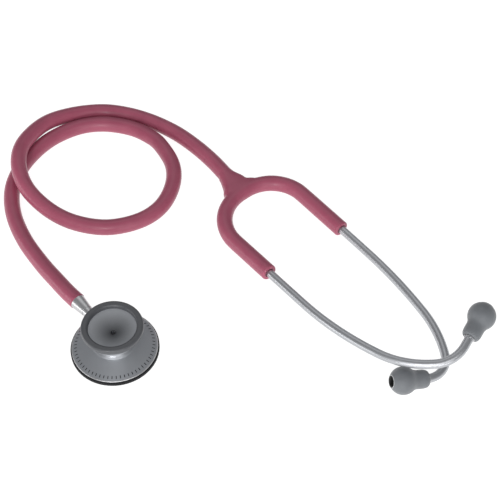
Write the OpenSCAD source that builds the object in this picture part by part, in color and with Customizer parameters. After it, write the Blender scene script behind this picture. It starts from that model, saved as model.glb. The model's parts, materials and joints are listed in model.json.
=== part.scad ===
// Dual-head stethoscope, lying on a flat surface with its diaphragm down and its bell up.
// The origin is on the axis of the chest piece, on the diaphragm's face. +Z is up.

/* [Chest piece] */
// Outer diameter of the diaphragm rim
rim_d = 45.2; // [44:0.2:46]
// Outer diameter of the bell's rubber sleeve
bell_d = 31.6; // [30:0.2:32]
// Height of the bell's lip above the diaphragm's face
chest_h = 20.8; // [20:0.1:22]
// Diameter of the stiff diaphragm disc
diaphragm_d = 35.6; // [34:0.2:36]
// Diameter of the neck between the bell and the flange
neck_d = 20; // [19:0.5:21]

/* [Stem] */
// Height of the stem's axis above the diaphragm's face
stem_z = 9.4; // [9.2:0.1:9.6]
// Direction of the stem, seen from above
stem_turn = 131; // [120:1:140]
// Diameter of the stem's shaft
stem_d = 6; // [5.6:0.1:6.2]
// Distance from the chest piece's axis to the thin end of the stem's cone
cone_start = 22.9; // [22.7:0.1:24]
// Distance from the chest piece's axis to the shoulder that the tubing meets
cone_end = 30.7; // [30:0.1:32]

/* [Tubing and yoke] */
// Outer diameter of the tubing and of the yoke's arms
tube_d = 8.8; // [8.4:0.1:9]
// Diameter of the sound channel in the tubing
lumen_d = 4; // [3.6:0.1:4.2]
// Distance between the centres of the two yoke arms
arm_gap = 50.6; // [50:0.2:54]
// Distance from the yoke's junction to the lips of its arms
yoke_depth = 55.5; // [53:0.5:58]
// Radius of the yoke's bend on the right, on its centre line
right_bend_r = 22; // [20:0.5:23]
// Radius of the yoke's bend on the left, on its centre line
left_bend_r = 25; // [23:0.5:25]

/* [Ear tubes and eartips] */
// Outer diameter of the metal ear tubes
ear_tube_d = 4.6; // [4.2:0.1:4.8]
// Diameter of the sound channel in the ear tubes
ear_lumen_d = 3; // [2.6:0.1:3.2]
// Length of ear tube held inside a yoke arm
grip = 22; // [18:0.5:24]
// Diameter of the eartip's ball
tip_ball_d = 14.2; // [13:0.1:14.4]
// Diameter of the eartip's neck
tip_neck_d = 9.5; // [9:0.1:9.6]
// Diameter of the sound hole in the eartip
tip_hole_d = 5.2; // [4.8:0.1:5.4]

/* [Hidden] */
$fn = 64;

tube_r = tube_d / 2;
lumen_r = lumen_d / 2;
ear_r = ear_tube_d / 2;
ear_bore_r = ear_lumen_d / 2;
stem_r = stem_d / 2;
run_gap = 0.05;      // running clearance between a turning part and its bore
cut = 1;             // how far a cutting shape reaches past the face that it opens
lap = 0.2;           // how far a straight piece reaches into the bends beside it
hair = 0.01;         // how much thinner the wall of a straight piece is than that of a bend

// Chest piece, along Z
flange_r = rim_d / 2 - 0.65;
flange_z = 1.5;      // underside of the metal flange, held in the rim
flange_top = 3.2;
bell_r = 14.4;       // outside of the metal bell, under the sleeve
bell_lip_z = 18.3;   // top of the metal bell
sleeve_z = 16.8;     // bottom of the sleeve
lip_flat = 1;        // width of the level land on top of the sleeve's lip
cup_z = 14.2;        // bottom of the bell's cup
cup_r = 12.2;
port_r = 1.3;        // sound holes from the cup and from the diaphragm to the stem
neck_r = neck_d / 2;
boss_r = 4.7;
boss_end = 13.5;     // where the boss round the stem ends, from the axis
diaphragm_t = 0.4;
surround_t = 0.4;
press_travel = 0.3;

// Stem, along its own axis from the chest piece's axis
shaft_tip = -3;
clear_r = stem_r + 1.1; // bore for the clip and the nut
seal_at = [6.8, 8.6];
seal_r = 0.55;
seal_inner_r = stem_r + 0.02 - 2 * seal_r;
clip_at = 10.2;
clip_t = 0.6;
nut_t = 2.2;
detent_at = 4;
detent_bore_r = 1;
detent_groove = 0.3;
ball_r = 0.9;
screw_at = 6.9;
screw_len = 1.8;
barb_len = 12;
barb_tip = 2.4;

// Headset: its X runs from the yoke's junction towards the ears, its Y to the wearer's right
headset_at = [64, 102.7, 0];
headset_turn = -50.2;
arm_v = arm_gap / 2;
back_start = left_bend_r - arm_v;
back_len = arm_gap - left_bend_r - right_bend_r; // straight back of the yoke, between its bends
trunk_start = [-18, 1.2];
trunk_turn = -4;
web_at = -3.2;       // middle of the web between the trunk and the bend
web_v = 4.2;
seat_r = tube_r + 0.35;
leaf_out = 2.6;      // from the bend's centre line out to the spring leaf
leaf_t = 0.7;
leaf_h = 3.6;
leaf_arc = 73;
collar_len = 5;
collar_at = 5;       // from the inner end of the ear tube
collar_t = 0.6;
lip = 0.6;

// Each leg of an ear tube is [roll of the bend's plane, straight length, bend radius, bend angle]
right_legs = [
    [0, grip, 0, 0], [-90, 0.6, 150, 0.9], [87.5, 18, 285, 9.3], [0, 0.6, 70, 21.7],
    [14.5, 0.8, 15, 85.3], [0, 3.6, 0, 0]
];
left_legs = [
    [0, grip, 0, 0], [7, 28, 186, 15.5], [0, 0.6, 47, 34.5], [8.5, 0.6, 17.5, 59.2], [0, 9.5, 0, 0]
];
right_yaw = -0.5;
left_yaw = 2.3;
right_pitch = 0;
left_pitch = 6.2;

// Eartip, along the ear tube's axis from the ball's centre, back towards the tube
ball_ahead = 9;      // from the end of the bent tube to the ball's centre
tip_back = 13.2;     // from the ball's centre to the back of the neck
ferrule_r = 2.9;
ferrule_front = 1.2; // from the ball's centre back to the front of the ferrule
ferrule_back = tip_back + 0.6;
neck_chamfer = 2.2;

// Route of the tubing from the stem's shoulder to the yoke's trunk
stem_shoulder = [cone_end * cos(stem_turn), cone_end * sin(stem_turn), stem_z];
trunk_end = concat(headset_point(trunk_start[0], trunk_start[1]), [tube_r]);
tube_route = [
    stem_shoulder,
    [-26, 29.8, 8.5], [-32.4, 38.1, 7.2], [-42.2, 51.3, 5.2], [-53.5, 68.5, 4.4], [-61.5, 86.5, 4.4],
    [-64.5, 104.5, 4.4], [-61.8, 120.5, 4.4], [-54.8, 134.6, 4.4], [-44.8, 146, 4.4], [-31, 154.2, 4.4],
    [-16.5, 156.4, 4.4], [-1.3, 153.3, 4.4], [9.2, 147.4, 4.4], [16.8, 139.7, 4.4], [24.5, 124, 4.4],
    [25.1, 108.2, 4.4], [19.4, 92.6, 4.4], [8, 82.3, 4.4], [-9.5, 77.5, 4.4], [-28, 81, 4.6],
    [-43, 88.8, 7], [-55, 100.2, 11.4], [-60.8, 115.2, 13.8], [-60.2, 131.8, 13.4], [-51, 150.2, 10.4],
    [-37.5, 161, 7.2], [-20, 166.6, 4.8], [-5, 164.9, 4.4], [10, 159.1, 4.4], [25, 149.7, 4.4],
    [37.5, 138.2, 4.4], [46.8, 127.5, 4.4],
    trunk_end
];
rings_between = 2;
tube_sides = 12;

function headset_point(u, v) = [
    headset_at[0] + u * cos(headset_turn) - v * sin(headset_turn),
    headset_at[1] + u * sin(headset_turn) + v * cos(headset_turn)
];

function unit(v) = v / norm(v);

function bend_r(side) = side > 0 ? right_bend_r : left_bend_r;

function arm_len(side) = yoke_depth - bend_r(side);

// Point between b and c on the smooth curve through a, b, c and d
function on_curve(a, b, c, d, t) =
    b + (c - a) * t / 2 + (2 * a - 5 * b + 4 * c - d) * t * t / 2 + (3 * b - a - 3 * c + d) * t * t * t / 2;

function smooth(points, steps) = [
    for (i = [0 : len(points) - 2], j = [0 : steps - 1])
        let (a = points[max(i - 1, 0)], d = points[min(i + 2, len(points) - 1)])
        on_curve(a, points[i], points[i + 1], d, j / steps),
    points[len(points) - 1]
];

function heading(path, i) = unit(path[min(i + 1, len(path) - 1)] - path[max(i - 1, 0)]);

// Ring of points round a path's point, square to its heading
function ring(centre, ahead, r, sides) =
    let (side = unit(cross(ahead, [0, 0, 1])), over = cross(side, ahead))
    [for (k = [0 : sides - 1]) centre + r * (cos(360 * k / sides) * side + sin(360 * k / sides) * over)];

module sweep(path, r, sides) {
    last = len(path) - 1;
    points = [for (i = [0 : last]) each ring(path[i], heading(path, i), r, sides)];
    walls = [
        for (i = [0 : last - 1], k = [0 : sides - 1])
            let (a = i * sides + k, b = i * sides + (k + 1) % sides)
            [a, b, b + sides, a + sides]
    ];
    start_cap = [[for (k = [0 : sides - 1]) sides - 1 - k]];
    end_cap = [[for (k = [0 : sides - 1]) last * sides + k]];
    polyhedron(points = points, faces = concat(walls, start_cap, end_cap));
}

// Outline points along an arc, for a turned profile
function arc_points(cx, cy, r, from, to, step = 10) =
    let (n = ceil(abs(to - from) / step))
    [for (i = [0 : n]) let (a = from + (to - from) * i / n) [cx + r * cos(a), cy + r * sin(a)]];

module along_x(length, r) {
    rotate([0, 90, 0]) cylinder(h = length, r = r);
}

module stem_frame() {
    translate([0, 0, stem_z]) rotate([0, 0, stem_turn]) children();
}

module headset_frame() {
    translate(headset_at) rotate([0, 0, headset_turn]) children();
}

// Frame of a yoke arm at its flexing point, X along the arm and Y away from the midline
module arm_frame(side) {
    yaw = side > 0 ? right_yaw : left_yaw;
    pitch = side > 0 ? right_pitch : left_pitch;
    headset_frame() mirror([0, side > 0 ? 0 : 1, 0]) translate([bend_r(side), arm_v, tube_r])
        rotate([0, 0, yaw]) rotate([0, -pitch, 0]) children();
}

module past_leg(leg) {
    rotate([-leg[0], 0, 0]) translate([leg[1], -leg[2], 0]) rotate([0, 0, -leg[3]])
        translate([0, leg[2], 0]) children();
}

module past_legs(legs, count, first = 0) {
    if (count == 0) children();
    else past_leg(legs[first]) past_legs(legs, count - 1, first + 1) children();
}

module wall(r, bore_r) {
    difference() {
        circle(r = r);
        circle(r = bore_r);
    }
}

// Hollow tube along the legs. Each straight is a hair thinner than the bends and laps into them.
module bent_tube(legs, r, bore_r) {
    last = len(legs) - 1;
    for (i = [0 : last]) past_legs(legs, i) rotate([-legs[i][0], 0, 0]) {
        length = legs[i][1];
        bend_r = legs[i][2];
        angle = legs[i][3];
        back = i > 0 ? lap : 0;
        ahead = i < last ? lap : 0;
        translate([-back, 0, 0]) rotate([0, 90, 0])
            linear_extrude(length + back + ahead) wall(r - hair, bore_r + hair);
        if (angle > 0) translate([length, -bend_r, 0]) rotate([0, 0, 90 - angle])
            rotate_extrude(angle = angle) translate([bend_r, 0]) wall(r, bore_r);
    }
}

module tube_start(side) {
    arm_frame(side) translate([arm_len(side) - grip, 0, 0]) children();
}

function legs_of(side) = side > 0 ? right_legs : left_legs;

// Frame at the centre of an eartip's ball, X pointing out of the tip
module tip_frame(side) {
    legs = legs_of(side);
    tube_start(side) past_legs(legs, len(legs)) translate([ball_ahead, 0, 0]) children();
}

// Start of one half of the yoke's bend, on the back of the yoke, with Y towards that side
module half_bend(side) {
    mirror([0, side > 0 ? 0 : 1, 0]) translate([bend_r(side), arm_v - bend_r(side), 0]) children();
}

// The yoke's bend: a short straight back and two quarter bends to the flexing points
module yoke_run(r) {
    translate([0, back_start - lap, 0]) rotate([0, 0, 90]) along_x(back_len + 2 * lap, r - hair);
    for (side = [-1, 1]) half_bend(side) rotate([0, 0, 90])
        rotate_extrude(angle = 90) translate([bend_r(side), 0]) circle(r = r);
}

// Groove cut round the stem down to radius r
module groove(width, r) {
    difference() {
        along_x(width, stem_r + cut);
        translate([-cut, 0, 0]) along_x(width + 2 * cut, r);
    }
}

module chest_body() {
    outer = concat(
        [[0, flange_z + 2.6], [16.5, flange_z + 0.7], [18.3, flange_z]],
        [[flange_r, flange_z], [flange_r, flange_top - 0.3], [flange_r - 0.3, flange_top]],
        [[neck_r + 1.8, 7.6]],
        arc_points(neck_r + 2.2, 10, 2.2, 230, 140),
        [[bell_r - 0.8, sleeve_z - 0.6], [bell_r, sleeve_z], [bell_r, bell_lip_z]],
        [[cup_r, bell_lip_z], [0, cup_z]]
    );
    color("silver") difference() {
        union() {
            rotate_extrude($fn = 96) polygon(outer);
            stem_frame() along_x(boss_end, boss_r);
        }
        translate([0, 0, stem_z]) cylinder(h = chest_h, r = port_r);
        translate([0, 0, -cut]) cylinder(h = stem_z + cut, r = port_r);
        stem_frame() translate([shaft_tip - 0.2, 0, 0]) along_x(boss_end + 8, stem_r + run_gap);
        stem_frame() translate([clip_at - 0.1, 0, 0]) along_x(boss_end, clear_r);
        stem_frame() translate([detent_at, 0, 0]) rotate([-90, 0, 0])
            cylinder(h = neck_r, r = detent_bore_r);
    }
}

module bell_sleeve() {
    outer_r = bell_d / 2;
    round_r = (outer_r - cup_r - lip_flat) / 2;
    round_z = chest_h - round_r;
    profile = concat(
        [[bell_r, bell_lip_z], [bell_r, sleeve_z], [outer_r - 0.8, sleeve_z], [outer_r, sleeve_z + 1.2]],
        arc_points(outer_r - round_r, round_z, round_r, 0, 90),
        arc_points(cup_r + round_r, round_z, round_r, 90, 180),
        [[cup_r, bell_lip_z]]
    );
    color("dimgray") rotate_extrude($fn = 96) polygon(profile);
}

module diaphragm_rim() {
    inner_r = diaphragm_d / 2 + 0.35;
    profile = [
        [inner_r, 0.3], [inner_r + 0.3, 0], [rim_d / 2 - 0.6, 0], [rim_d / 2, 0.6], [rim_d / 2, 2.2],
        [rim_d / 2 - 0.3, 2.5], [flange_r, 2.5], [flange_r, flange_z], [inner_r, flange_z]
    ];
    color("black") rotate_extrude($fn = 96) polygon(profile);
}

module diaphragm_surround() {
    inner_r = diaphragm_d / 2 - 1.8;
    color("dimgray") translate([0, 0, diaphragm_t + press_travel + 0.1]) difference() {
        cylinder(h = surround_t, r = diaphragm_d / 2 + 0.35);
        translate([0, 0, -cut]) cylinder(h = surround_t + 2 * cut, r = inner_r);
    }
}

module diaphragm() {
    color("gray") cylinder(h = diaphragm_t, r = diaphragm_d / 2, $fn = 96);
}

module stem_nut() {
    color("silver") stem_frame() translate([boss_end - nut_t, 0, 0]) difference() {
        along_x(nut_t, clear_r);
        translate([-cut, 0, 0]) along_x(nut_t + 2 * cut, stem_r + run_gap);
    }
}

module detent_ball() {
    ball_at = stem_r - detent_groove + run_gap + ball_r;
    color("silver") stem_frame() translate([detent_at, ball_at, 0]) sphere(r = ball_r);
}

module detent_spring() {
    turns = 4;
    steps = 12 * turns;
    coil_r = 0.65;
    length = 2;
    start = stem_r - detent_groove + run_gap + 2 * ball_r + 0.15;
    coil = [for (i = [0 : steps]) [coil_r * cos(30 * i), coil_r * sin(30 * i), start + length * i / steps]];
    color("silver") stem_frame() translate([detent_at, 0, 0]) rotate([-90, 0, 0]) sweep(coil, 0.14, 6);
}

module detent_screw() {
    socket_depth = screw_len / 2;
    color("silver") stem_frame() translate([detent_at, screw_at, 0]) rotate([-90, 0, 0]) difference() {
        cylinder(h = screw_len, r = detent_bore_r);
        translate([0, 0, screw_len - socket_depth]) cylinder(h = socket_depth + cut, r = 0.45, $fn = 6);
    }
}

module stem() {
    color("lightgray") stem_frame() difference() {
        union() {
            translate([shaft_tip, 0, 0]) along_x(cone_start - shaft_tip, stem_r);
            translate([cone_start, 0, 0]) rotate([0, 90, 0])
                cylinder(h = cone_end - cone_start, r1 = stem_r + 0.1, r2 = tube_r - 0.25);
            translate([cone_end, 0, 0]) along_x(barb_len, lumen_r + 0.2);
            for (i = [1 : 3]) translate([cone_end + i * barb_len / 4, 0, 0]) rotate([0, 90, 0])
                cylinder(h = barb_tip, r1 = lumen_r + 0.7, r2 = lumen_r + 0.3);
        }
        along_x(cone_end + barb_len + cut, port_r);
        cylinder(h = stem_r + cut, r = port_r);
        for (at = seal_at) translate([at - seal_r - 0.05, 0, 0]) groove(2 * seal_r + 0.1, seal_inner_r);
        translate([clip_at, 0, 0]) groove(clip_t + 0.1, stem_r - 0.5);
        translate([detent_at - 0.5, 0, 0]) groove(1, stem_r - detent_groove);
    }
}

module stem_clip() {
    color("silver") stem_frame() translate([clip_at + 0.05, 0, 0]) difference() {
        along_x(clip_t, stem_r + 0.7);
        translate([-cut, 0, 0]) along_x(clip_t + 2 * cut, stem_r - 0.5);
        translate([-cut, -1.1, 0]) cube([clip_t + 2 * cut, 2.2, clear_r]);
    }
}

module stem_seals() {
    color("black") stem_frame() for (at = seal_at) translate([at, 0, 0]) rotate([0, 90, 0])
        rotate_extrude() translate([seal_inner_r + seal_r, 0]) circle(r = seal_r, $fn = 24);
}

module tubing() {
    color("palevioletred") sweep(smooth(tube_route, rings_between), tube_r, tube_sides);
}

module yoke_core() {
    trunk_frame = [trunk_start[0], trunk_start[1], 0];
    color("palevioletred") difference() {
        headset_frame() translate([0, 0, tube_r]) union() {
            yoke_run(tube_r);
            hull() {
                translate(trunk_frame) rotate([0, 0, trunk_turn]) along_x(3, tube_r, $fn = 32);
                for (v = [-web_v, web_v]) translate([web_at, v, 0]) sphere(r = tube_r - 0.2, $fn = 32);
            }
        }
        headset_frame() translate([0, 0, tube_r]) {
            yoke_run(lumen_r - 0.2);
            translate(trunk_frame) rotate([0, 0, trunk_turn]) translate([-cut, 0, 0])
                along_x(cut - trunk_start[0], lumen_r - 0.2);
            for (side = [-1, 1]) translate([bend_r(side), side * arm_v, 0]) sphere(r = seat_r);
        }
        spring_strip(0.02);
    }
}

// Steel leaf on the outer side of the yoke's bend, grown by the given gap
module spring_strip(gap) {
    section = [leaf_t + 2 * gap, leaf_h + 2 * gap];
    headset_frame() translate([0, 0, tube_r - section[1] / 2]) {
        translate([-leaf_out - leaf_t - gap + hair, back_start - lap, hair])
            cube([section[0] - 2 * hair, back_len + 2 * lap, section[1] - 2 * hair]);
        for (side = [-1, 1]) half_bend(side) rotate([0, 0, 180 - leaf_arc])
            rotate_extrude(angle = leaf_arc) translate([bend_r(side) + leaf_out - gap, 0]) square(section);
    }
}

module yoke_spring() {
    color("gray") spring_strip(0);
}

module yoke_arm(side) {
    end = arm_len(side);
    color("palevioletred") arm_frame(side) difference() {
        union() {
            sphere(r = tube_r);
            along_x(end - lip, tube_r);
            translate([end - lip, 0, 0]) rotate([0, 90, 0]) cylinder(h = lip, r1 = tube_r, r2 = tube_r - lip);
        }
        translate([-tube_r - cut, 0, 0]) along_x(end + 2 * tube_r, ear_bore_r);
        translate([end - grip, 0, 0]) along_x(grip + cut, ear_r);
        translate([end - lip, 0, 0]) along_x(lip + cut, ear_r + 0.6);
        translate([end - grip + collar_at, 0, 0]) along_x(collar_len, ear_r + collar_t);
    }
}

module tube_collar(side) {
    color("silver") tube_start(side) translate([collar_at, 0, 0]) difference() {
        along_x(collar_len, ear_r + collar_t);
        translate([-cut, 0, 0]) along_x(collar_len + 2 * cut, ear_r);
    }
}

module ear_tube(side) {
    color("silver") tube_start(side) bent_tube(legs_of(side), ear_r, ear_bore_r);
}

module tip_ferrule(side) {
    color("silver") tip_frame(side) translate([-ferrule_back, 0, 0]) difference() {
        along_x(ferrule_back - ferrule_front, ferrule_r);
        translate([-cut, 0, 0]) along_x(ferrule_back - ball_ahead + cut, ear_r);
        along_x(ferrule_back + cut, ear_bore_r);
    }
}

module eartip(side) {
    neck_r = tip_neck_d / 2;
    color("gray") tip_frame(side) difference() {
        union() {
            rotate([0, 90, 0]) sphere(r = tip_ball_d / 2);
            translate([neck_chamfer - tip_back, 0, 0]) along_x(tip_back - neck_chamfer, neck_r);
            translate([-tip_back, 0, 0]) rotate([0, 90, 0])
                cylinder(h = neck_chamfer, r1 = neck_r - 1.3, r2 = neck_r);
        }
        translate([-tip_back - cut, 0, 0]) along_x(tip_back + cut, ferrule_r + run_gap);
        translate([-cut, 0, 0]) along_x(tip_ball_d, tip_hole_d / 2);
    }
}

chest_body();
bell_sleeve();
diaphragm_rim();
diaphragm_surround();
diaphragm();
stem_nut();
detent_ball();
detent_spring();
detent_screw();
stem();
stem_clip();
stem_seals();
tubing();
yoke_core();
yoke_spring();
yoke_arm(1);  // right_yoke_arm
yoke_arm(-1);  // left_yoke_arm
tube_collar(1);  // right_tube_collar
tube_collar(-1);  // left_tube_collar
ear_tube(1);  // right_ear_tube
ear_tube(-1);  // left_ear_tube
tip_ferrule(1);  // right_tip_ferrule
tip_ferrule(-1);  // left_tip_ferrule
eartip(1);  // right_eartip
eartip(-1);  // left_eartip
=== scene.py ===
"""Dual-head stethoscope: soft parts, finishes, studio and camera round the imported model."""
import json
import math

import bmesh
import bpy
from mathutils import Matrix, Vector


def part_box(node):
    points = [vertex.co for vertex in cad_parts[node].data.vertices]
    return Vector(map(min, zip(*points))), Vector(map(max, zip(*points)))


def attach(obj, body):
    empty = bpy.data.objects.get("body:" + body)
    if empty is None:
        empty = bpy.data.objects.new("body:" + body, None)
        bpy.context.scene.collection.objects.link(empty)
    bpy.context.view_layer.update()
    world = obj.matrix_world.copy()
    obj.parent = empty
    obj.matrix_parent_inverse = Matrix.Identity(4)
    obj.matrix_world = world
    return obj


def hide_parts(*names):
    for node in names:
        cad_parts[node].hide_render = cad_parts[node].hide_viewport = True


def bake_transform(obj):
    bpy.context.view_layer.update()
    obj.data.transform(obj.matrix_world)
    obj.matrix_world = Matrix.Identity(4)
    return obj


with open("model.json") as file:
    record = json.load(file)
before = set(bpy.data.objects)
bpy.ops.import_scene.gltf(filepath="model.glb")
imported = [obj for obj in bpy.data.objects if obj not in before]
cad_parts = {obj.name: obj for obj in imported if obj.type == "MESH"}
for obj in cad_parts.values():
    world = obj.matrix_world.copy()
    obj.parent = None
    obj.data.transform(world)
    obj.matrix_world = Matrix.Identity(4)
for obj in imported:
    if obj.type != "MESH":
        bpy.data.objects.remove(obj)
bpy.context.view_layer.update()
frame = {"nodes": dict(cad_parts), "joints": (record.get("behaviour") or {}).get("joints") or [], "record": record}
NODES = frame["nodes"]
RECORD = frame["record"]
MM = 0.001
UP = Vector((0, 0, 1))

# ---------------------------------------------------------------- places taken from the frame


def joint(name):
    return next(j for j in frame["joints"] if j["name"] == name)


def mount(name):
    return next(m for m in RECORD["mounts"] if m["name"] == name)


STEM_AXIS = Vector(joint("chest_piece_turn")["axis"])
STEM_CENTRE = Vector(joint("chest_piece_turn")["pos_m"])
STEM_REACH = 30.7 * MM
SHOULDER = STEM_CENTRE + STEM_AXIS * STEM_REACH
RIGHT_FLEX = Vector(joint("right_ear_spread")["pos_m"])
LEFT_FLEX = Vector(joint("left_ear_spread")["pos_m"])
TUBE_R = RIGHT_FLEX.z
BEND_R = {1: 22 * MM, -1: 25 * MM}
YOKE_DEPTH = 55.5 * MM
SPAN = RIGHT_FLEX - LEFT_FLEX
LEAN = math.asin((BEND_R[-1] - BEND_R[1]) / SPAN.length)
ACROSS = Matrix.Rotation(-LEAN, 3, "Z") @ SPAN.normalized()
FORWARD = ACROSS.cross(UP)
ARM_V = SPAN.length * math.cos(LEAN) / 2
JUNCTION = RIGHT_FLEX - FORWARD * BEND_R[1] - ACROSS * ARM_V
TRUNK_LENGTH = 18
TRUNK_START = JUNCTION - FORWARD * TRUNK_LENGTH * MM + ACROSS * 1.85 * MM
RIM_LIP = 0.65
FLANGE_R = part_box("diaphragm_rim")[1][0] / MM - RIM_LIP


def headset(u, v, z=0.0):
    """Point u forward of the junction, v towards the right arm and z above the tube's centre."""
    return JUNCTION + FORWARD * u + ACROSS * v + UP * z


# ---------------------------------------------------------------- camera, floor and light

LOOK_DOWN = 51
LOOK_AT = Vector((0.0687, 0.0651, 0))
CAMERA_DISTANCE = 0.679
LIGHT_TARGET = (0.06, 0.07, 0.0)
FLOOR_HALF = 3.0


def make_camera():
    data = bpy.data.cameras.new("studio_camera")
    data.lens = 90
    data.sensor_width = 36
    camera = bpy.data.objects.new("studio_camera", data)
    bpy.context.scene.collection.objects.link(camera)
    down = math.radians(LOOK_DOWN)
    camera.location = LOOK_AT + Vector((0, -math.cos(down), math.sin(down))) * CAMERA_DISTANCE
    camera.rotation_euler = (math.pi / 2 - down, 0, 0)
    bpy.context.scene.camera = camera


def make_softbox(name, place, size, power):
    data = bpy.data.lights.new(name, "AREA")
    data.shape = "RECTANGLE"
    data.size, data.size_y = size
    data.energy = power
    lamp = bpy.data.objects.new(name, data)
    bpy.context.scene.collection.objects.link(lamp)
    lamp.location = place
    aim = Vector(LIGHT_TARGET) - Vector(place)
    lamp.rotation_mode = "QUATERNION"
    lamp.rotation_quaternion = aim.to_track_quat("-Z", "Y")


def make_studio():
    scene = bpy.context.scene
    scene.view_settings.view_transform = "Standard"
    world = bpy.data.worlds.new("studio")
    scene.world = world
    world.use_nodes = True
    background = world.node_tree.nodes["Background"]
    background.inputs["Color"].default_value = (0.97, 0.98, 1.0, 1)
    background.inputs["Strength"].default_value = 0.32
    make_softbox("front_wall", (0.07, -1.3, 0.19), (1.8, 0.28), 6.5)
    make_softbox("front_upper", (0.07, -0.95, 1.0), (1.8, 0.7), 5.5)
    make_softbox("left_wall", (-1.3, -0.25, 0.16), (1.3, 0.26), 4.5)
    make_softbox("streak_light", (-0.15, -1.0, 0.62), (0.16, 0.1), 2.6)
    make_softbox("top_fill", (0.0, 0.9, 1.3), (1.2, 0.8), 2)
    floor = bpy.data.meshes.new("floor")
    corners = [(x * FLOOR_HALF, y * FLOOR_HALF, 0) for x, y in ((-1, -1), (1, -1), (1, 1), (-1, 1))]
    floor.from_pydata(corners, [], [(0, 1, 2, 3)])
    plane = bpy.data.objects.new("studio_floor", floor)
    scene.collection.objects.link(plane)
    plane.location.z = -0.2 * MM
    floor.materials.append(floor_paper())


# ---------------------------------------------------------------- shader expressions


class Value:
    """A socket that takes part in Python sums: each operator adds one Math node."""

    def __init__(self, sheet, socket):
        self.sheet = sheet
        self.socket = socket

    def _math(self, operation, *others, turned=False):
        values = [self, *others]
        if turned:
            values.reverse()
        return self.sheet.node("ShaderNodeMath", {"operation": operation}, dict(enumerate(values)))

    def __add__(self, other):
        return self._math("ADD", other)

    __radd__ = __add__

    def __mul__(self, other):
        return self._math("MULTIPLY", other)

    __rmul__ = __mul__

    def __sub__(self, other):
        return self._math("SUBTRACT", other)

    def __rsub__(self, other):
        return self._math("SUBTRACT", other, turned=True)

    def __truediv__(self, other):
        return self._math("DIVIDE", other)

    def __pow__(self, other):
        return self._math("POWER", other)

    def __lt__(self, other):
        return self._math("LESS_THAN", other)

    def __gt__(self, other):
        return self._math("GREATER_THAN", other)

    def clamped(self):
        return self._math("MINIMUM", 1.0)._math("MAXIMUM", 0.0)


class Finish:
    def __init__(self, name):
        self.material = bpy.data.materials.new(name)
        self.material.use_nodes = True
        self.tree = self.material.node_tree
        self.shader = self.tree.nodes["Principled BSDF"]

    def fill(self, socket, value):
        if isinstance(value, Value):
            self.tree.links.new(value.socket, socket)
        elif isinstance(value, (tuple, list)) and len(value) == 3 and socket.type == "RGBA":
            socket.default_value = (*value, 1)
        else:
            socket.default_value = value

    def node(self, kind, settings=None, inputs=None, output=0):
        made = self.tree.nodes.new(kind)
        for key, value in (settings or {}).items():
            if key == "stops":
                while len(made.color_ramp.elements) < len(value):
                    made.color_ramp.elements.new(0.5)
                for element, (at, level) in zip(made.color_ramp.elements, value):
                    element.position = at
                    element.color = (level, level, level, 1)
            else:
                setattr(made, key, value)
        for key, value in (inputs or {}).items():
            self.fill(made.inputs[key], value)
        return Value(self, made.outputs[output])

    def place(self):
        return self.node("ShaderNodeTexCoord", output=3)

    def noise(self, scale, detail):
        inputs = {"Vector": self.place(), "Scale": scale, "Detail": detail, "Roughness": 0.5}
        return self.node("ShaderNodeTexNoise", {}, inputs)

    def mix(self, factor, a, b):
        made = self.tree.nodes.new("ShaderNodeMix")
        made.data_type = "RGBA"
        for index, value in ((0, factor), (6, a), (7, b)):
            self.fill(made.inputs[index], value)
        return Value(self, made.outputs[2])

    def bump(self, height, strength, distance):
        inputs = {"Height": height, "Strength": strength, "Distance": distance}
        return self.node("ShaderNodeBump", {}, inputs)

    def finish(self, **sockets):
        for key, value in sockets.items():
            self.fill(self.shader.inputs[key.replace("_", " ")], value)
        return self.material


# ---------------------------------------------------------------- finishes


def floor_paper():
    paper = Finish("white_paper")
    glow = {"Emission_Color": (1, 1, 1), "Emission_Strength": 0.9}
    return paper.finish(Base_Color=(0.35, 0.35, 0.35), Roughness=0.9, **glow)


def soft_pvc():
    pvc = Finish("raspberry_pvc")
    mottle = pvc.noise(120, 3)
    deep = (0.33, 0.070, 0.120)
    bright = (0.41, 0.101, 0.158)
    fine = pvc.noise(2600, 2)
    return pvc.finish(
        Base_Color=pvc.mix(mottle, deep, bright),
        Roughness=0.30 + 0.12 * mottle,
        Normal=pvc.bump(fine, 0.06, 0.0002),
        Specular_IOR_Level=0.3,
        Coat_Weight=0.1,
        Coat_Roughness=0.12,
    )


def eartip_silicone():
    """Soft grey skin, with a painted highlight as a pale ring round the opening of the sound hole and painted
    shade, near black, down inside the bore.
    """
    silicone = Finish("grey_silicone")
    mottle = silicone.noise(300, 3)
    fine = silicone.noise(4000, 2)
    # Painted shade: near black down inside the bore.
    bore_shade = silicone.node("ShaderNodeAttribute", {"attribute_name": "bore_depth"}, output=2)
    # Painted highlight: a pale ring round the opening of the sound hole.
    mouth = silicone.node("ShaderNodeAttribute", {"attribute_name": "mouth"}, output=2)
    skin = silicone.mix(mottle, (0.130, 0.139, 0.150), (0.170, 0.180, 0.193))
    outside = silicone.mix(mouth, skin, (0.45, 0.46, 0.47))
    return silicone.finish(
        Base_Color=silicone.mix(bore_shade, outside, (0.004, 0.004, 0.004)),
        Roughness=0.52 + 0.1 * mottle,
        Normal=silicone.bump(fine, 0.08, 0.0002),
        Sheen_Weight=0.25,
        Sheen_Roughness=0.5,
    )


def sleeve_rubber():
    rubber = Finish("dark_grey_rubber")
    fine = rubber.noise(3500, 2)
    mottle = rubber.noise(250, 2)
    return rubber.finish(
        Base_Color=rubber.mix(mottle, (0.066, 0.069, 0.076), (0.090, 0.093, 0.101)),
        Roughness=0.32 + 0.1 * mottle,
        Normal=rubber.bump(fine, 0.08, 0.0002),
    )


def rim_rubber():
    rubber = Finish("black_rim")
    fine = rubber.noise(3000, 2)
    return rubber.finish(
        Base_Color=rubber.mix(fine, (0.008, 0.008, 0.009), (0.016, 0.016, 0.018)),
        Roughness=0.5 + 0.1 * fine,
        Specular_IOR_Level=0.12,
        Normal=rubber.bump(fine, 0.05, 0.0002),
    )


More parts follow.
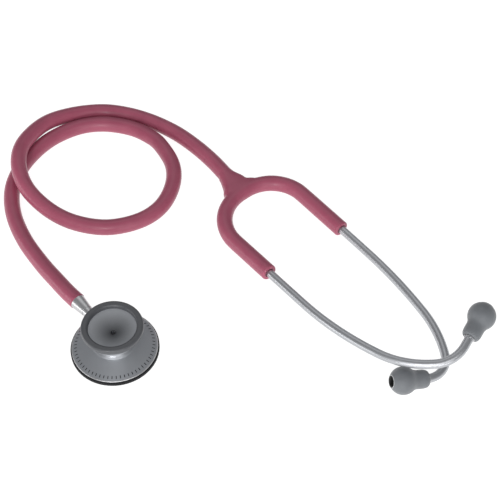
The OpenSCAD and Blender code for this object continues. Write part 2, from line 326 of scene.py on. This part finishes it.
def chest_metal():
    """Satin metal turned about the chest piece's axis, polished at the neck, with painted shade in the cup that
    darkens towards its centre and a painted highlight that brightens it towards its rim.
    """
    metal = Finish("satin_grey_metal")
    split = metal.tree.nodes.new("ShaderNodeSeparateXYZ")
    metal.fill(split.inputs[0], metal.place())
    x, y, z = (Value(metal, socket) for socket in split.outputs)
    radius = (x * x + y * y) ** 0.5
    turning = (radius + z) * (2 * math.pi / (0.18 * MM))
    marks = metal.node("ShaderNodeMath", {"operation": "SINE"}, {0: turning})
    drift = metal.noise(90, 2)
    outward = (radius / (12.2 * MM)).clamped()
    in_cup = (z > 14.15 * MM) * (radius < 12.25 * MM)
    from_neck = (z - 9.6 * MM) / (1.9 * MM)
    neck = (1 - from_neck * from_neck).clamped()
    flange = metal.mix(drift, (0.36, 0.375, 0.40), (0.44, 0.455, 0.48))
    # Painted shade and highlight: the cup's colour runs from near black at its centre to pale at its rim.
    cup_painted_shade_and_highlight = metal.mix(outward, (0.070, 0.073, 0.079), (0.50, 0.515, 0.54))
    bright = metal.mix(neck, metal.mix(in_cup, flange, cup_painted_shade_and_highlight), (0.32, 0.33, 0.35))
    return metal.finish(
        Base_Color=bright,
        Metallic=0.85,
        Roughness=0.34 + 0.08 * drift + 0.16 * in_cup - 0.08 * neck,
        Normal=metal.bump(marks, 0.25, 0.00001),
    )


def drawn_metal(name, dark, light, roughness):
    """Drawn tube with a fine satin grain."""
    metal = Finish(name)
    grain = metal.noise(1800, 4)
    drift = metal.noise(60, 2)
    return metal.finish(
        Base_Color=metal.mix(drift, dark, light),
        Metallic=1.0,
        Roughness=roughness + 0.1 * grain,
        Normal=metal.bump(grain, 0.05, 0.0001),
    )


def dark_etching():
    etching = Finish("etched_mark")
    return etching.finish(Base_Color=(0.012, 0.012, 0.014), Roughness=0.7, Specular_IOR_Level=0.2)


def diaphragm_laminate():
    laminate = Finish("diaphragm_laminate")
    weave = laminate.noise(900, 2)
    return laminate.finish(
        Base_Color=laminate.mix(weave, (0.22, 0.22, 0.23), (0.30, 0.30, 0.31)),
        Roughness=0.38 + 0.1 * weave,
        Normal=laminate.bump(weave, 0.1, 0.0001),
        Coat_Weight=0.2,
    )


# ---------------------------------------------------------------- mesh helpers


def on_curve(a, b, c, d, t):
    """Point between b and c on the smooth curve through four points."""
    square = 2 * a - 5 * b + 4 * c - d
    cube = 3 * b - a - 3 * c + d
    return (2 * b + (c - a) * t + square * t * t + cube * t**3) / 2


def smooth_path(points, steps, after=None):
    """Points on the smooth curve through the given ones, with an optional one past the end."""
    chain = [points[0], *points, after or points[-1]]
    path = []
    for i in range(1, len(chain) - 2):
        path += [on_curve(*chain[i - 1 : i + 3], j / steps) for j in range(steps)]
    return path + [points[-1]]


def headings(path, first=None, last=None):
    turned = []
    for i in range(len(path)):
        turned.append((path[min(i + 1, len(path) - 1)] - path[max(i - 1, 0)]).normalized())
    if first:
        turned[0] = first
    if last:
        turned[-1] = last
    return turned


def mesh_object(name, mesh, material, body=None):
    made = bpy.data.objects.new(name, mesh)
    bpy.context.scene.collection.objects.link(made)
    mesh.materials.clear()
    mesh.materials.append(material)
    for face in mesh.polygons:
        face.use_smooth = True
    mesh.set_sharp_from_angle(angle=math.radians(50))
    if body:
        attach(made, body)
    return made


def swept_mesh(name, path, radii, sides, first=None, last=None):
    """Round tube along a nearly level path; radii holds one radius for each of its points."""
    form = bmesh.new()
    rings = []
    for centre, ahead, r in zip(path, headings(path, first, last), radii):
        side = ahead.cross(UP).normalized()
        over = side.cross(ahead)
        spokes = [side * math.cos(a) + over * math.sin(a) for a in circle_angles(sides)]
        rings.append([form.verts.new(centre + spoke * r) for spoke in spokes])
    skin_rings(form, rings)
    form.faces.new(list(reversed(rings[0])))
    form.faces.new(rings[-1])
    return finished_mesh(name, form)


def circle_angles(sides):
    return [2 * math.pi * k / sides for k in range(sides)]


def skin_rings(form, rings):
    """Faces from each ring of points to the next."""
    for one, two in zip(rings, rings[1:]):
        for k in range(len(one)):
            after = (k + 1) % len(one)
            form.faces.new((one[k], one[after], two[after], two[k]))


def finished_mesh(name, form):
    bmesh.ops.recalc_face_normals(form, faces=form.faces)
    mesh = bpy.data.meshes.new(name)
    form.to_mesh(mesh)
    form.free()
    return mesh


def turned_mesh(name, outline, origin, axis, segments):
    """Ring turned about an axis; the outline is a closed loop of (along, radius), in millimetres."""
    form = bmesh.new()
    to_axis = axis.to_track_quat("Z", "Y").to_matrix()
    loops = []
    for along, radius in outline:
        round_points = [(radius * math.cos(a), radius * math.sin(a)) for a in circle_angles(segments)]
        places = [origin + to_axis @ Vector((x, y, along)) * MM for x, y in round_points]
        loops.append([form.verts.new(place) for place in places])
    skin_rings(form, [*loops, loops[0]])
    return finished_mesh(name, form)


def rounded(points, steps):
    """Smooth open profile through (along, radius) points."""
    path = smooth_path([Vector((p[0], p[1], 0)) for p in points], steps)
    return [(p.x, p.y) for p in path]


def arc(cx, cy, r, start, stop):
    """Profile points on an arc, with angles in degrees from the axis."""
    steps = 10
    angles = [math.radians(start + (stop - start) * i / steps) for i in range(steps + 1)]
    return [(cx + r * math.cos(a), cy + r * math.sin(a)) for a in angles]


# ---------------------------------------------------------------- tubing and yoke

ROUTE_MM = [
    (-26, 29.8, 8.5), (-32.4, 38.1, 7.2), (-42.2, 51.3, 5.2), (-53.5, 68.5, 4.4), (-61.5, 86.5, 4.4),
    (-64.5, 104.5, 4.4), (-61.8, 120.5, 4.4), (-54.8, 134.6, 4.4), (-44.8, 146, 4.4), (-31, 154.2, 4.4),
    (-16.5, 156.4, 4.4), (-1.3, 153.3, 4.4), (9.2, 147.4, 4.4), (16.8, 139.7, 4.4), (24.5, 124, 4.4),
    (25.1, 108.2, 4.4), (19.4, 92.6, 4.4), (8, 82.3, 4.4), (-9.5, 77.5, 4.4), (-28, 81, 4.6),
    (-43, 88.8, 7), (-55, 100.2, 11.4), (-60.8, 115.2, 13.8), (-60.2, 131.8, 13.4), (-51, 150.2, 10.4),
    (-37.5, 161, 7.2), (-20, 166.6, 4.8), (-5, 164.9, 4.4), (10, 159.1, 4.4), (25, 149.7, 4.4),
    (37.5, 138.2, 4.4), (46.8, 127.5, 4.4),
]
TUBE_SIDES = 40
TUBE_STEPS = 8
TUBE_MOUTH = 0.5 * MM


def make_tubing(pvc):
    points = [SHOULDER, *(Vector(p) * MM for p in ROUTE_MM), TRUNK_START]
    path = smooth_path(points, TUBE_STEPS, after=JUNCTION)
    start = [path[0], path[0] + STEM_AXIS * TUBE_MOUTH]
    radii = [TUBE_R - TUBE_MOUTH] + [TUBE_R] * len(path)
    mesh = swept_mesh("tubing_pvc", start + path[1:], radii, TUBE_SIDES, STEM_AXIS, trunk_heading())
    tubing = mesh_object("tubing_pvc", mesh, pvc, "tubing_and_yoke")
    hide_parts("tubing")
    length = sum((b - a).length for a, b in zip(path, path[1:]))


def trunk_heading():
    return (JUNCTION - Vector(ROUTE_MM[-1]) * MM).normalized()


BEND_SHOWN = math.radians(52)
BEND_PAST = math.radians(10)
WEB_SIDES = 48
WEB_HALF_HEIGHT = 4.38
# Places along the web, as (forward of the junction, towards the right arm, half width).
WEB_MM = [
    (-20, 1.9, 4.4), (-18, 1.85, 4.4), (-16, 1.5, 4.9), (-14, 1.25, 5.2), (-12, 1.15, 5.95),
    (-10.5, 1, 6.6), (-9, 1, 7.2), (-7.5, 0.75, 7.75), (-6, 0.2, 8.3), (-5, -0.2, 9),
    (-3.5, 0.9, 10.3), (-1, 1.3, 11.9),
]


def bend_point(angle, side):
    """Point of the yoke's centre line, turned by the angle from its back towards one shoulder."""
    r = BEND_R[side]
    return headset(r - r * math.cos(angle), side * (ARM_V - r + r * math.sin(angle)))


def bend_heading(angle, side):
    return FORWARD * math.sin(angle) + ACROSS * side * math.cos(angle)


def nearest_on(path, point):
    best = None
    for a, b in zip(path, path[1:]):
        along = b - a
        t = max(0.0, min(1.0, (point - a).dot(along) / along.length_squared))
        foot = a + along * t
        gap = (point - foot).length
        if best is None or gap < best[1]:
            best = (foot, gap)
    return best


def make_yoke_moulding(pvc):
    """Trunk, web and back of the bend melted into one skin and trued to the tube at its ends."""
    turn = (BEND_SHOWN + BEND_PAST) / 24
    bend_path = [bend_point(step * turn, -1) for step in range(24, -1, -1)]
    bend_path += [bend_point(step * turn, 1) for step in range(25)]
    heading = trunk_heading()
    trunk_path = [TRUNK_START - heading * 4 * MM, TRUNK_START, JUNCTION]
    form = bmesh.new()
    for mesh in (
        swept_mesh("bend", bend_path, [TUBE_R] * len(bend_path), WEB_SIDES),
        swept_mesh("trunk", trunk_path, [TUBE_R] * 3, WEB_SIDES),
        web_mesh(),
    ):
        form.from_mesh(mesh)
        bpy.data.meshes.remove(mesh)
    joined = bpy.data.meshes.new("yoke_moulding")
    form.to_mesh(joined)
    form.free()
    rough = bpy.data.objects.new("yoke_rough", joined)
    bpy.context.scene.collection.objects.link(rough)
    remesh = rough.modifiers.new("melt", "REMESH")
    remesh.mode = "VOXEL"
    remesh.voxel_size = 0.45 * MM
    ease = rough.modifiers.new("ease", "SMOOTH")
    ease.factor = 0.5
    ease.iterations = 36
    melted = plain_mesh(rough)
    true_to_tube(melted, bend_path, trunk_path)
    cut_ends(melted, heading)
    moulding = mesh_object("yoke_moulding", melted, pvc, "tubing_and_yoke")
    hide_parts("yoke_core")


def plain_mesh(made):
    """The object's mesh with its modifiers applied; the object itself is removed."""
    graph = bpy.context.evaluated_depsgraph_get()
    mesh = bpy.data.meshes.new_from_object(made.evaluated_get(graph))
    bpy.data.objects.remove(made)
    return mesh


def web_mesh():
    """Flat-topped web that widens from the trunk into the bend, as rings of rounded boxes."""
    form = bmesh.new()
    rings = []
    round_r = TUBE_R / MM
    for u, v, half_width in WEB_MM:
        ring = []
        for a in circle_angles(WEB_SIDES):
            c, s = math.cos(a), math.sin(a)
            reach = half_width - round_r
            x = c * round_r + (reach if c > 0 else -reach) * min(1, abs(c) * 2.2)
            ring.append(form.verts.new(headset(u * MM, (v + x) * MM, s * WEB_HALF_HEIGHT * MM)))
        rings.append(ring)
    skin_rings(form, rings)
    form.faces.new(list(reversed(rings[0])))
    form.faces.new(rings[-1])
    return finished_mesh("web", form)


def ramp(value, start, run):
    """Rises from 0 at the start to 1 over the run, both in millimetres."""
    return max(0.0, min(1.0, (value - start * MM) / (run * MM)))


def true_to_tube(mesh, bend_path, trunk_path):
    """Move the skin out to the tube's exact radius wherever it is clear of the web."""
    for vertex in mesh.vertices:
        point = vertex.co
        local = point - JUNCTION
        u, v = local.dot(FORWARD), local.dot(ACROSS)
        on_trunk = u < -9 * MM
        foot, gap = nearest_on(trunk_path if on_trunk else bend_path, point)
        weight = ramp(-u, 16, 1.5) if on_trunk else max(ramp(abs(v), 13, 5), ramp(u, 2.2, 2))
        if gap > 0:
            vertex.co = point.lerp(foot + (point - foot) * (TUBE_R / gap), weight)


def cut_ends(mesh, heading):
    form = bmesh.new()
    form.from_mesh(mesh)
    cuts = [(TRUNK_START, -heading)]
    cuts += [(bend_point(BEND_SHOWN, side), bend_heading(BEND_SHOWN, side)) for side in (1, -1)]
    for place, outward in cuts:
        near = [g for g in (*form.verts, *form.edges, *form.faces) if close_to(g, place)]
        plane = {"plane_co": place, "plane_no": outward}
        bmesh.ops.bisect_plane(form, geom=near, clear_outer=True, dist=1e-7, **plane)
    bmesh.ops.holes_fill(form, edges=[e for e in form.edges if e.is_boundary], sides=0)
    form.to_mesh(mesh)
    form.free()


def close_to(item, place):
    vertices = [item] if isinstance(item, bmesh.types.BMVert) else item.verts
    return all((v.co - place).length < 12 * MM for v in vertices)


ARM_YAW = {1: -0.5, -1: 2.3}
ARM_PITCH = {1: 0, -1: 6.2}
FLEX_REACH = 11 * MM


def arm_axis(side):
    """Start of an arm at its flexing point and its direction, from the metal tube inside it."""
    flex = RIGHT_FLEX if side > 0 else LEFT_FLEX
    yaw = math.radians(ARM_YAW[side])
    pitch = math.radians(ARM_PITCH[side])
    level = FORWARD * math.cos(yaw) + ACROSS * side * math.sin(yaw)
    return flex, (level * math.cos(pitch) + UP * math.sin(pitch)).normalized()


def make_arm_sleeve(side, pvc):
    """Soft arm from the bend to its lip, with a bore for the metal tube."""
    word = "right" if side > 0 else "left"
    flex, along = arm_axis(side)
    turn = math.pi / 2 - BEND_SHOWN
    bend = [bend_point(BEND_SHOWN + turn * i / 14, side) for i in range(13)]
    ease = smooth_path([bend[-2], bend[-1], flex + along * 1.5 * MM, flex + along * 3 * MM], 2)
    length = YOKE_DEPTH - BEND_R[side]
    arm = [flex + along * (length * i / 24) for i in range(3, 24)]
    path = bend[:-2] + ease + arm
    turned = headings(path, bend_heading(BEND_SHOWN, side), along)
    lip = flex + along * length
    rings = list(zip(path, turned, [TUBE_R] * len(path)))
    rings += [(lip - along * back * MM, along, r * MM) for back, r in ARM_LIP]
    bore_r = ARM_LIP[-1][1] * MM
    rings += [(place, ahead, bore_r) for place, ahead in reversed(list(zip(path, turned)))]
    sleeve = mesh_object(word + "_arm_sleeve", closed_rings(rings), pvc)
    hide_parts(word + "_yoke_arm")
    reach = FORWARD * FLEX_REACH
    ends = {"start": tuple(flex - reach), "end": tuple(flex + reach)}
    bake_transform(sleeve)


# The arm's rounded lip, as (back from the end, radius).
ARM_LIP = [
    (0.9, 4.4), (0.55, 4.36), (0.25, 4.2), (0.07, 3.98), (0, 3.75), (0, 2.8), (0.05, 2.62), (0.2, 2.5),
    (0.5, 2.36), (1.2, 2.32),
]


def closed_rings(rings):
    """Shell through rings of (centre, heading, radius), with the last ring joined to the first."""
    form = bmesh.new()
    loops = []
    for centre, ahead, r in rings:
        side = ahead.cross(UP).normalized()
        over = side.cross(ahead)
        spokes = [side * math.cos(a) + over * math.sin(a) for a in circle_angles(TUBE_SIDES)]
        loops.append([form.verts.new(centre + spoke * r) for spoke in spokes])
    skin_rings(form, [*loops, loops[0]])
    return finished_mesh("sleeve", form)


# ---------------------------------------------------------------- eartips, bell sleeve and rim

# Profiles are (along the axis, radius) in millimetres; an eartip's start at its ball's centre.
EARTIP_SKIN = [
    (-13.1, 2.96), (-13.2, 3.3), (-12.95, 3.95), (-12.1, 4.45), (-10.6, 4.75), (-8.8, 4.8),
    (-7.2, 4.8), (-5.9, 4.95), (-4.7, 5.45), (-3.4, 6.22), (-1.8, 6.87), (0, 7.1), (1.8, 6.87),
    (3.4, 6.22), (4.8, 5.2), (5.8, 4.05), (6.3, 3.42), (6.44, 3.18), (6.42, 3.0), (6.2, 2.84),
    (5.7, 2.66),
]
EARTIP_BORE = [(5.2, 2.6), (3, 2.6), (0.1, 2.6), (0, 2.7), (0, 2.95), (-6, 2.95)]
EARTIP_SIDES = 72
PORT_AHEAD = 3.2 * MM
MOUTH_AT = 6.3
MOUTH_R = 3.4
BORE_AT = 3.02
TURNED_SIDES = 128
ORIGIN = Vector((0, 0, 0))


def make_eartip(side, silicone):
    word = "right" if side > 0 else "left"
    port = mount(word + "_eartip_port")
    axis = Vector(port["axis"])
    ball = Vector(port["pos_m"]) - axis * PORT_AHEAD
    skin = rounded(EARTIP_SKIN, 4)
    outline = skin + EARTIP_BORE
    mesh = turned_mesh("eartip", outline, ball, axis, EARTIP_SIDES)
    # Mask of the painted shade down inside the bore.
    bore_shade = [float(along > 0 and radius < BORE_AT) for along, radius in skin]
    bore_shade += [1.0] * len(EARTIP_BORE)
    # Mask of the painted highlight round the opening of the sound hole.
    mouth = [float(along > MOUTH_AT and radius < MOUTH_R) for along, radius in outline]
    for label, values in (("bore_depth", bore_shade), ("mouth", mouth)):
        layer = mesh.attributes.new(label, "FLOAT", "POINT")
        layer.data.foreach_set("value", [v for v in values for _ in range(EARTIP_SIDES)])
    tip = mesh_object(word + "_eartip_soft", mesh, silicone, word + "_eartip")
    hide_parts(word + "_eartip")


def make_bell_sleeve(rubber):
    """Rubber sleeve stretched over the bell's edge, with a level land on its lip."""
    outline = [(18.3, 12.2), (18.3, 14.4), (16.8, 14.4), (16.8, 14.8)]
    side = [(16.9, 15.0), (17.3, 15.3), (17.9, 15.6), (18.6, 15.77), (19.4, 15.8)]
    outline += rounded(side, 4)
    outline += arc(19.5, 14.5, 1.3, 90, 0) + arc(19.5, 13.5, 1.3, 0, -90)
    mesh = turned_mesh("sleeve", outline, ORIGIN, UP, TURNED_SIDES)
    sleeve = mesh_object("bell_sleeve_soft", mesh, rubber, "chest_piece")
    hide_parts("bell_sleeve")


def make_flange_edge(metal):
    """Bright turned edge round the top of the flange."""
    r = FLANGE_R
    outline = [(2.9, r + 0.02), (3.1, r - 0.04), (3.22, r - 0.18), (3.25, r - 0.4)]
    outline += [(3.1, r - 0.4), (2.85, r - 0.1)]
    mesh = turned_mesh("edge", outline, ORIGIN, UP, TURNED_SIDES)
    mesh_object("flange_edge", mesh, metal, "chest_piece")


# ---------------------------------------------------------------- etched marks on the flange


MARK_INPUTS = {
    "Radius": "NodeSocketFloat", "Height": "NodeSocketFloat", "Slope": "NodeSocketFloat",
    "Count": "NodeSocketInt", "Mark": "NodeSocketVector", "Finish": "NodeSocketMaterial",
}
MARK_NODES = {
    "given": "NodeGroupInput", "ring": "GeometryNodeMeshCircle", "box": "GeometryNodeMeshCube",
    "on_points": "GeometryNodeInstanceOnPoints", "position": "GeometryNodeInputPosition",
    "align": "FunctionNodeAlignEulerToVector", "tilt": "GeometryNodeRotateInstances",
    "tilt_angle": "ShaderNodeCombineXYZ", "lift": "GeometryNodeTransform",
    "lift_by": "ShaderNodeCombineXYZ", "realize": "GeometryNodeRealizeInstances",
    "paint": "GeometryNodeSetMaterial", "out": "NodeGroupOutput",
}
MARK_LINKS = [
    ("given", "Count", "ring", "Vertices"), ("given", "Radius", "ring", "Radius"),
    ("given", "Mark", "box", "Size"), ("ring", "Mesh", "on_points", "Points"),
    ("box", "Mesh", "on_points", "Instance"), ("position", 0, "align", "Vector"),
    ("align", 0, "on_points", "Rotation"), ("on_points", 0, "tilt", "Instances"),
    ("given", "Slope", "tilt_angle", "Y"), ("tilt_angle", 0, "tilt", "Rotation"),
    ("tilt", 0, "lift", "Geometry"), ("given", "Height", "lift_by", "Z"),
    ("lift_by", 0, "lift", "Translation"), ("lift", 0, "realize", 0),
    ("realize", 0, "paint", "Geometry"), ("given", "Finish", "paint", "Material"),
    ("paint", 0, "out", 0),
]


def make_marks():
    """Geometry Nodes that lay a ring of short plain ticks on the flange's slope."""
    tree = bpy.data.node_groups.new("etched_ring", "GeometryNodeTree")
    tree.interface.new_socket("Geometry", in_out="OUTPUT", socket_type="NodeSocketGeometry")
    for label, kind in MARK_INPUTS.items():
        tree.interface.new_socket(label, in_out="INPUT", socket_type=kind)
    nodes = {label: tree.nodes.new(kind) for label, kind in MARK_NODES.items()}
    nodes["align"].axis = "X"
    nodes["align"].pivot_axis = "Z"
    for start, output, end, socket in MARK_LINKS:
        tree.links.new(nodes[start].outputs[output], nodes[end].inputs[socket])
    return tree


SLOPE_FOOT_R = FLANGE_R - 0.3
SLOPE_FOOT_Z = 3.2
FLANGE_SLOPE = (7.6 - SLOPE_FOOT_Z) / (SLOPE_FOOT_R - 11.8)
MARK_LIFT = 0.005


def flange_height(radius_mm):
    """Height of the flange's upper slope, in millimetres."""
    return SLOPE_FOOT_Z + (SLOPE_FOOT_R - radius_mm) * FLANGE_SLOPE


def lay_marks(name, tree, etching, radius_mm, count, mark_mm):
    host = bpy.data.objects.new(name, bpy.data.meshes.new(name))
    bpy.context.scene.collection.objects.link(host)
    modifier = host.modifiers.new("marks", "NODES")
    modifier.node_group = tree
    values = {
        "Radius": radius_mm * MM,
        "Height": (flange_height(radius_mm) + MARK_LIFT) * MM,
        "Slope": math.atan(FLANGE_SLOPE),
        "Count": count,
        "Mark": [side * MM for side in mark_mm],
        "Finish": etching,
    }
    for socket in tree.interface.items_tree:
        if socket.in_out == "INPUT":
            modifier[socket.identifier] = values[socket.name]
    mesh_object(name, plain_mesh(host), etching, "chest_piece")


# ---------------------------------------------------------------- finishes of the metal parts


def paint_nodes(small):
    satin = chest_metal()
    stem = drawn_metal("stem_steel", (0.50, 0.50, 0.51), (0.58, 0.58, 0.59), 0.28)
    tube = drawn_metal("ear_tube_aluminium", (0.44, 0.45, 0.47), (0.52, 0.53, 0.55), 0.34)
    rim = rim_rubber()
    finishes = {
        "chest_body": satin, "stem": stem, "diaphragm_rim": rim, "diaphragm_surround": rim,
        "diaphragm": diaphragm_laminate(), "stem_seals": rim, "right_ear_tube": tube,
        "left_ear_tube": tube,
    }
    for name, node in NODES.items():
        node.data.materials.clear()
        node.data.materials.append(finishes.get(name, small))


def main():
    make_camera()
    make_studio()
    pvc = soft_pvc()
    silicone = eartip_silicone()
    make_tubing(pvc)
    make_yoke_moulding(pvc)
    for side in (1, -1):
        make_arm_sleeve(side, pvc)
        make_eartip(side, silicone)
    make_bell_sleeve(sleeve_rubber())
    small = drawn_metal("small_steel", (0.50, 0.50, 0.51), (0.60, 0.60, 0.61), 0.24)
    make_flange_edge(small)
    lay_marks("flange_ticks", make_marks(), dark_etching(), 19.9, 60, (1.5, 0.42, 0.02))
    paint_nodes(small)


main()
